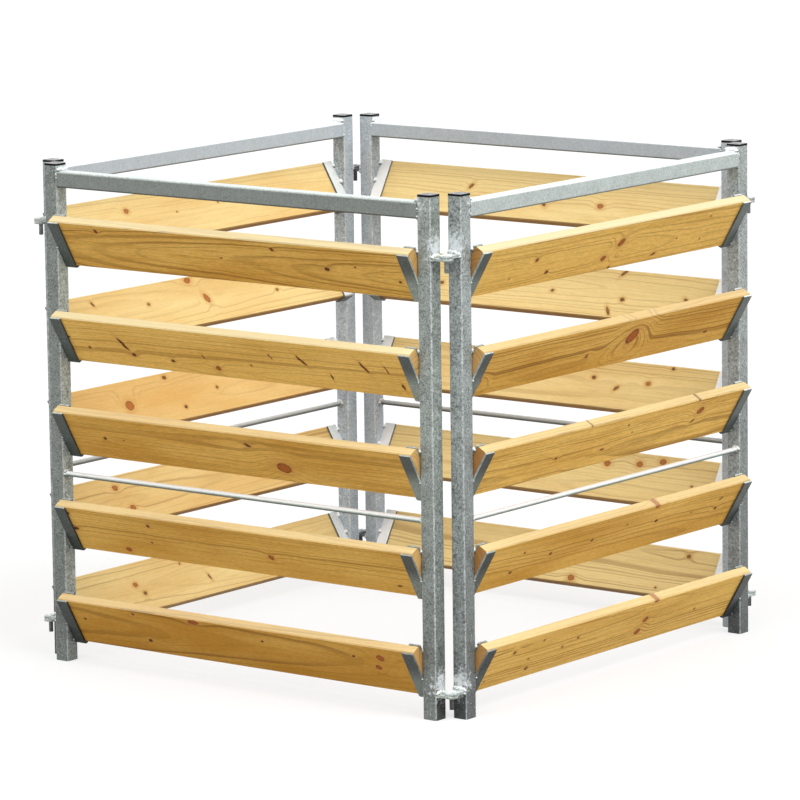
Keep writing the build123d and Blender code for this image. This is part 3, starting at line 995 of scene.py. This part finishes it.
# Tacks of a bracket: distance out of the slat's middle, and up from its lower edge
OUTER_TACKS = ((0.0143, 0.0425), (0.0143, 0.0053))
INNER_TACKS = ((-0.0143, 0.0900), (-0.0143, 0.0540))
TACK_RADIUS = 0.0023
REAR_TACK_RADIUS = 0.0052
TACK_SIZES = (0.85, 1.15)
TACK_JITTER = 0.003

# Lug roots, and the plug welds of the pins
LUG_WELD_INSET = 0.004
ROOT_RADIUS = 0.0034
HEAP_LUMPS = 5
HEAP_RADIUS = 0.0048
HEAP_SIZES = (0.7, 1.2)
HEAP_SPREAD = 0.010
HEAP_RISE = 0.002
PLUG_RADII = (0.0085, 0.0080, 0.0028)

# Spatter
SPATTER_COUNT = 26
SPATTER_SPREAD = 0.09
SPATTER_RADII = (0.0007, 0.0013)
SPATTER_FROM_EDGE = 0.004
SPATTER_FROM_END = 0.01


class Lumps:
    """Collects the points and faces of many uneven rounded lumps."""

    def __init__(self, chance):
        self.chance = chance
        self.points = []
        self.faces = []
        ball = bmesh.new()
        bmesh.ops.create_icosphere(ball, subdivisions=2, radius=1.0)
        self.ball_points = [vert.co.copy() for vert in ball.verts]
        self.ball_faces = [[vert.index for vert in face.verts] for face in ball.faces]
        ball.free()

    def add(self, centre, radii):
        first = len(self.points)
        roll = Vector([self.chance.uniform(-LUMP_SHIFT, LUMP_SHIFT) for _ in range(3)])
        for point in self.ball_points:
            away = Vector([share * radius for share, radius in zip(point, radii)])
            wave = noise.noise(away * LUMP_WAVES + roll)
            self.points.append(centre + away * (1.0 + LUMP_WAVE_HEIGHT * wave))
        self.faces += [[first + index for index in face] for face in self.ball_faces]

    def dab(self, centre, size):
        """A lump that is flatter along the panel."""
        self.add(centre, (size * WELD_FLATNESS, size, size))

    def bead(self, start, end, radius, fill=1.0):
        """A run of overlapping lumps from start to end; fill is the share of lumps kept."""
        count = max(2, math.ceil((end - start).length / (BEAD_STEP * radius)))
        for index in range(count + 1):
            size = radius * self.chance.uniform(*BEAD_SIZES)
            jitter = Vector([self.chance.uniform(-BEAD_JITTER, BEAD_JITTER) * radius for _ in range(3)])
            if self.chance.random() < fill:
                self.add(start.lerp(end, index / count) + jitter, (size, size, size))


def rail_welds(lumps, side):
    """Fillet on top of the rail's end, a few lumps down its sides and a bead under it."""
    post_low, post_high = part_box("front_right_post")
    rail_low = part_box("front_top_rail")[0]
    seam = side * post_low.x
    top = rail_low.z + post_high.x - post_low.x
    near_y = post_low.y + RAIL_WELD_INSET
    far_y = post_high.y - RAIL_WELD_INSET
    fillet_x = seam - side * FILLET_OFFSET
    fillet_z = top + FILLET_OFFSET
    lumps.bead(Vector((fillet_x, near_y, fillet_z)), Vector((fillet_x, far_y, fillet_z)), FILLET_RADIUS)
    for y in (post_low.y + SEAM_DEPTH, post_high.y - SEAM_DEPTH):
        for _ in range(SEAM_LUMPS):
            z = lumps.chance.uniform(rail_low.z + RAIL_WELD_INSET, top - RAIL_WELD_INSET)
            size = SEAM_RADIUS * lumps.chance.uniform(*SEAM_SIZES)
            lumps.add(Vector((seam, y, z)), (size, size, SEAM_STRETCH * size))
    low_z = rail_low.z + UNDER_BEAD_RISE
    lumps.bead(Vector((seam, near_y, low_z)), Vector((seam, far_y, low_z)), UNDER_BEAD_RADIUS)


def rod_welds(lumps, side):
    """Lumps all round the end of the brace rod."""
    low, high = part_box("front_brace_rod")
    middle = (low + high) / 2
    reach = (high.z - low.z) / 2
    for angle in range(0, 360, ROD_WELD_STEP):
        turn = math.radians(angle + lumps.chance.uniform(-ROD_WELD_JITTER, ROD_WELD_JITTER))
        around = Vector((0.0, math.cos(turn), math.sin(turn))) * reach
        size = ROD_WELD_RADIUS * lumps.chance.uniform(*ROD_WELD_SIZES)
        lumps.dab(Vector((side * high.x, middle.y, middle.z)) + around, size)


def bracket_welds(lumps, side, row):
    """Two small tacks outside a bracket, and two big ones inside."""
    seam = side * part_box("front_right_post")[0].x
    centre, _, up, out = board_axes(f"front_slat_{row + 1}")
    seat = centre - up * SLAT_HEIGHT / 2
    for tacks, radius in ((OUTER_TACKS, TACK_RADIUS), (INNER_TACKS, REAR_TACK_RADIUS)):
        for offset, rise in tacks:
            spot = seat + out * offset + up * (rise + lumps.chance.uniform(-TACK_JITTER, TACK_JITTER))
            spot.x = seam
            lumps.dab(spot, radius * lumps.chance.uniform(*TACK_SIZES))


def lug_welds(lumps, panel):
    """Beads at the roots of the lugs, a heap on top of each root, and a plug weld on each pin."""
    post_low, post_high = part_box("front_right_post")
    middle = (post_low.y + post_high.y) / 2
    near_y = post_low.y + LUG_WELD_INSET
    far_y = post_high.y - LUG_WELD_INSET
    for piece, side in (("pin_lugs", -1), ("hole_lugs", 1)):
        root = side * post_high.x
        for levels in lug_levels(f"{panel}_{piece}"):
            for _ in range(HEAP_LUMPS):
                y = middle + lumps.chance.uniform(-HEAP_SPREAD, HEAP_SPREAD)
                spot = Vector((root, y, levels[1] + HEAP_RISE))
                lumps.dab(spot, HEAP_RADIUS * lumps.chance.uniform(*HEAP_SIZES))
            for z in levels:
                lumps.bead(Vector((root, near_y, z)), Vector((root, far_y, z)), ROOT_RADIUS)
    pin_low, pin_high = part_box("front_hinge_pins")
    pivot = (pin_low + pin_high) / 2
    for _, top in lug_levels(panel + "_pin_lugs"):
        lumps.add(Vector((pivot.x, pivot.y, top)), PLUG_RADII)


def spatter(lumps, panel):
    """Small beads of zinc and weld metal thrown on the posts by the lugs and the rail."""
    post_low, post_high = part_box("front_right_post")
    heights = [top for _, top in lug_levels(panel + "_hole_lugs")]
    heights.append(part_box("front_top_rail")[0].z)
    chance = lumps.chance
    for side in (-1, 1):
        for _ in range(SPATTER_COUNT):
            z = chance.choice(heights) + chance.uniform(-SPATTER_SPREAD, SPATTER_SPREAD)
            z = min(max(z, SPATTER_FROM_END), post_high.z - SPATTER_FROM_END)
            x = side * chance.uniform(post_low.x + SPATTER_FROM_EDGE, post_high.x - SPATTER_FROM_EDGE)
            y = chance.choice((post_low.y, post_high.y))
            size = chance.uniform(*SPATTER_RADII)
            lumps.add(Vector((x, y, z)), (size, size, size))


def panel_welds(panel, seed):
    """Every weld of a panel, placed as on the front panel."""
    lumps = Lumps(random.Random(seed))
    for side in (-1, 1):
        rail_welds(lumps, side)
        rod_welds(lumps, side)
        for row in range(SLAT_ROWS):
            bracket_welds(lumps, side, row)
    lug_welds(lumps, panel)
    spatter(lumps, panel)
    return lumps


def add_welds():
    """One lumpy weld piece for each panel, riding on the panel."""
    for index, panel in enumerate(PANEL_TURNS):
        lumps = panel_welds(panel, index)
        mesh = bpy.data.meshes.new(panel + "_welds")
        mesh.from_pydata(lumps.points, [], lumps.faces)
        mesh.transform(panel_turn(panel).to_4x4())
        mesh.materials.append(ZincCoat(panel, "welds").paint())
        welds = bpy.data.objects.new(panel + "_welds", mesh)
        bpy.context.scene.collection.objects.link(welds)
        remesh = welds.modifiers.new("merge", "REMESH")
        remesh.mode = "VOXEL"
        remesh.voxel_size = WELD_VOXEL
        remesh.use_smooth_shade = True
        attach(welds, panel + "_panel")


aim_camera()
light_stage()
lay_floor()
dress_nodes()
add_welds()

bpy.context.scene.view_settings.view_transform = "Standard"
bpy.context.view_layer.update()
